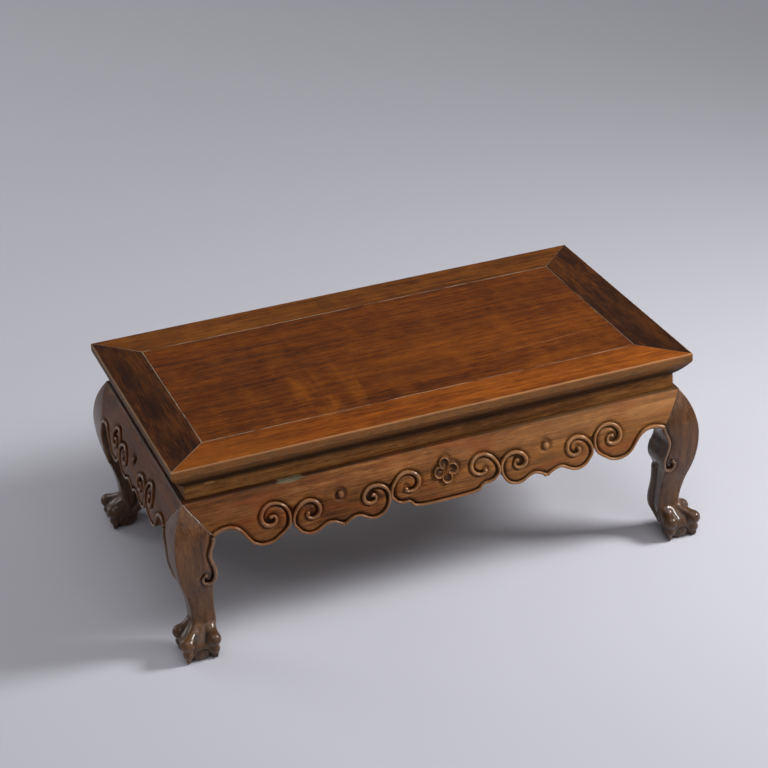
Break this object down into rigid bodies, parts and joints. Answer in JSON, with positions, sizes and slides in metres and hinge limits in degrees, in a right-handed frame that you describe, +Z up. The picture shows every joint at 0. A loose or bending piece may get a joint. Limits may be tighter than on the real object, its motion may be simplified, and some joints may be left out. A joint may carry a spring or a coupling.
{
  "type": "kang table",
  "caption": "Low rectangular hardwood table with framed panel top, recessed waist, bulging lobed aprons and S-curved claw-and-ball legs.",
  "frame": {"origin": "middle of the footprint, on the floor under the feet", "axes": "+Z up, +X along the table to its right end, -Y out of the front"},
  "size_m": [0.7772, 0.4392, 0.293],
  "materials": {
    "panel_wood": "waxed amber brown hardwood",
    "frame_wood": "waxed amber brown hardwood, worn tan edge",
    "end_frame_wood": "waxed dark brown hardwood",
    "waist_wood": "waxed brown hardwood",
    "carved_wood": "waxed brown hardwood, carved",
    "leg_wood": "polished brown hardwood, carved",
    "brace_wood": "plain unfinished hardwood"
  },
  "bodies": {
    "root": {"top_panel": "panel_wood", "top_frame_front": "frame_wood", "top_frame_back": "frame_wood", "top_frame_left": "end_frame_wood", "top_frame_right": "end_frame_wood", "panel_brace_left": "brace_wood", "panel_brace_right": "brace_wood", "waist_front": "waist_wood", "apron_front": "carved_wood", "waist_back": "waist_wood", "apron_back": "carved_wood", "waist_left": "waist_wood", "apron_left": "carved_wood", "waist_right": "waist_wood", "apron_right": "carved_wood", "leg_front_left": "leg_wood", "leg_front_right": "leg_wood", "leg_back_right": "leg_wood", "leg_back_left": "leg_wood"}
  },
  "joints": []
}
